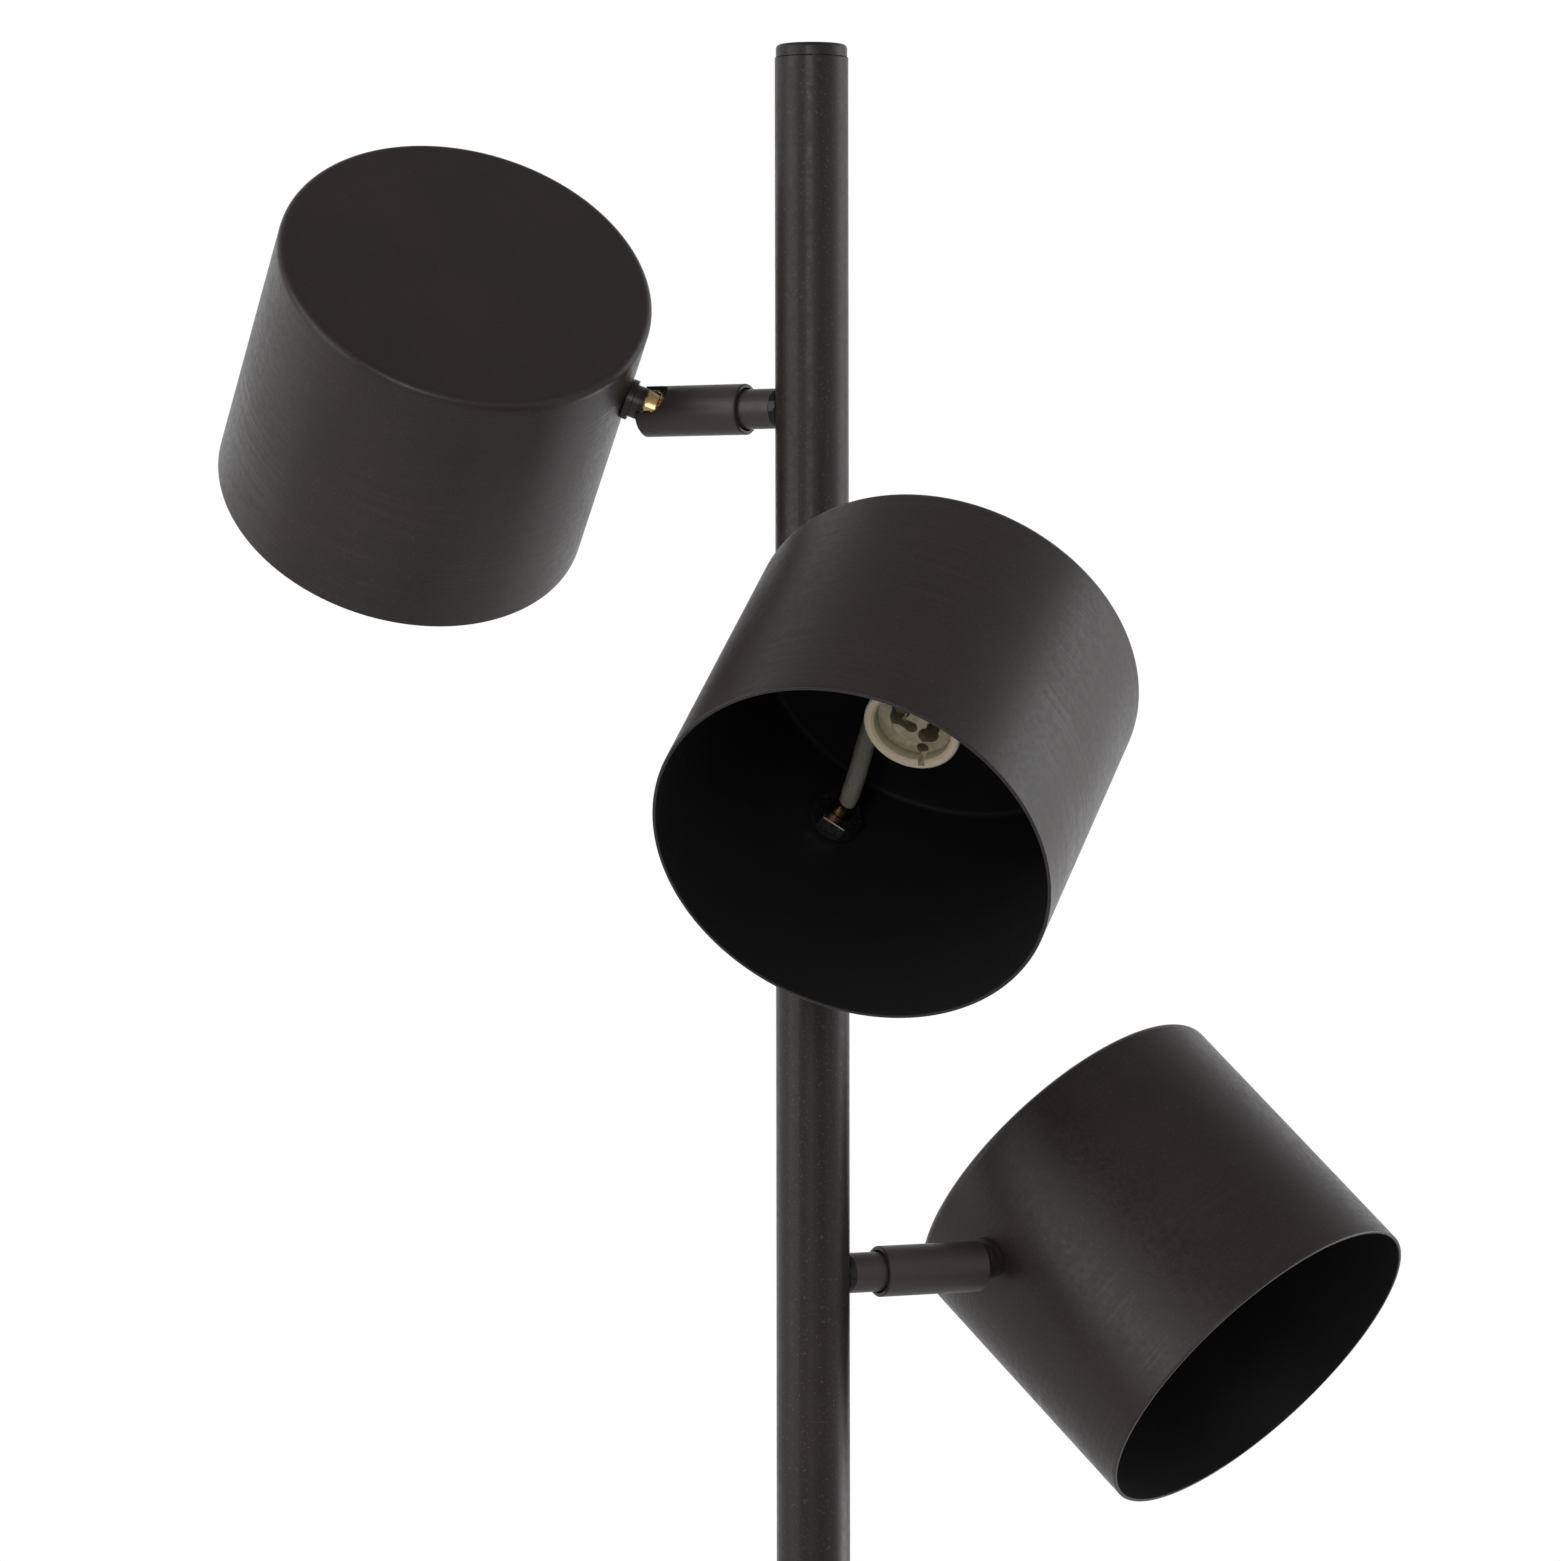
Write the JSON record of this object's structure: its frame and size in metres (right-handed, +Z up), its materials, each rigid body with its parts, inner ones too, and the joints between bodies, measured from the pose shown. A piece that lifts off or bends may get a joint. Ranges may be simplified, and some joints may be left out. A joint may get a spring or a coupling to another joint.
{
  "type": "floor lamp",
  "caption": "Free-standing dark pole lamp: a weighted round base, a slim pole and three short arms, each with a swivelling, tilting cylinder spotlight.",
  "frame": {"origin": "on the floor at the centre of the round base, under the pole", "axes": "+Z up along the pole, -Y to the front, the side the picture was taken from"},
  "size_m": [0.332, 0.2982, 1.5005],
  "materials": {
    "base_paint": "satin",
    "pole_paint": "satin",
    "shade_paint": "satin",
    "cast_weight": "matte",
    "foam": "matte",
    "zinc_steel": "satin",
    "black_nut": "satin",
    "brass_turned": "satin",
    "black_gloss_plastic": "gloss",
    "soft_black": "matte",
    "wire_sheath": "matte",
    "lead_sleeving": "matte",
    "holder_ceramic": "matte"
  },
  "bodies": {
    "stand": {"base_cover": "base_paint", "base_weight": "cast_weight", "base_pad": "foam", "base_nut": "zinc_steel", "cable_grommet": "soft_black", "pole_foot": "zinc_steel", "pole_lower": "pole_paint", "pole_middle": "pole_paint", "pole_upper": "pole_paint", "pole_couplers": "zinc_steel", "pole_cap": "pole_paint", "pole_wiring": "wire_sheath", "arm_saddles": "black_gloss_plastic", "arm_nipples": "brass_turned", "arm_nuts": "brass_turned", "upper_arm_tube": "pole_paint", "upper_swivel_plug": "brass_turned", "middle_arm_tube": "pole_paint", "middle_swivel_plug": "brass_turned", "lower_arm_tube": "pole_paint", "lower_swivel_plug": "brass_turned"},
    "upper_sleeve": {"upper_swivel_sleeve": "pole_paint", "upper_stop_screw": "zinc_steel", "upper_tilt_pins": "pole_paint", "upper_tilt_washers": "zinc_steel"},
    "upper_head": {"upper_knuckle": "brass_turned", "upper_knuckle_collar": "pole_paint", "upper_shade": "shade_paint", "upper_shade_washer": "zinc_steel", "upper_shade_nut": "black_nut", "upper_lampholder": "holder_ceramic", "upper_holder_bracket": "zinc_steel", "upper_holder_screws": "zinc_steel", "upper_shade_lead": "lead_sleeving"},
    "middle_sleeve": {"middle_swivel_sleeve": "pole_paint", "middle_stop_screw": "zinc_steel", "middle_tilt_pins": "pole_paint", "middle_tilt_washers": "zinc_steel"},
    "middle_head": {"middle_knuckle": "brass_turned", "middle_knuckle_collar": "pole_paint", "middle_shade": "shade_paint", "middle_shade_washer": "zinc_steel", "middle_shade_nut": "black_nut", "middle_lampholder": "holder_ceramic", "middle_holder_bracket": "zinc_steel", "middle_holder_screws": "zinc_steel", "middle_shade_lead": "lead_sleeving"},
    "lower_sleeve": {"lower_swivel_sleeve": "pole_paint", "lower_stop_screw": "zinc_steel", "lower_tilt_pins": "pole_paint", "lower_tilt_washers": "zinc_steel"},
    "lower_head": {"lower_knuckle": "brass_turned", "lower_knuckle_collar": "pole_paint", "lower_shade": "shade_paint", "lower_shade_washer": "zinc_steel", "lower_shade_nut": "black_nut", "lower_lampholder": "holder_ceramic", "lower_holder_bracket": "zinc_steel", "lower_holder_screws": "zinc_steel", "lower_shade_lead": "lead_sleeving"}
  },
  "joints": [
    {"name": "upper_swivel", "type": "hinge", "parent": "stand", "child": "upper_sleeve", "pos_m": [-0.04157, 0.024, 1.4015], "axis": [-0.866, 0.5, 0], "range_deg": [-109.4, 210.6]},
    {"name": "upper_tilt", "type": "hinge", "parent": "upper_sleeve", "child": "upper_head", "pos_m": [-0.04157, 0.024, 1.4015], "axis": [0.3174, 0.5497, 0.7727], "range_deg": [-35.3, 54.7]},
    {"name": "middle_swivel", "type": "hinge", "parent": "stand", "child": "middle_sleeve", "pos_m": [0, -0.048, 1.2835], "axis": [0, -1, 0], "range_deg": [-122.7, 197.3]},
    {"name": "middle_tilt", "type": "hinge", "parent": "middle_sleeve", "child": "middle_head", "pos_m": [0, -0.048, 1.2835], "axis": [-0.7955, 0, 0.606], "range_deg": [-49.1, 40.9]},
    {"name": "lower_swivel", "type": "hinge", "parent": "stand", "child": "lower_sleeve", "pos_m": [0.04157, 0.024, 1.1655], "axis": [0.866, 0.5, 0], "range_deg": [-106.8, 213.2]},
    {"name": "lower_tilt", "type": "hinge", "parent": "lower_sleeve", "child": "lower_head", "pos_m": [0.04157, 0.024, 1.1655], "axis": [0.2995, -0.5188, 0.8007], "range_deg": [-19.5, 70.5]}
  ]
}
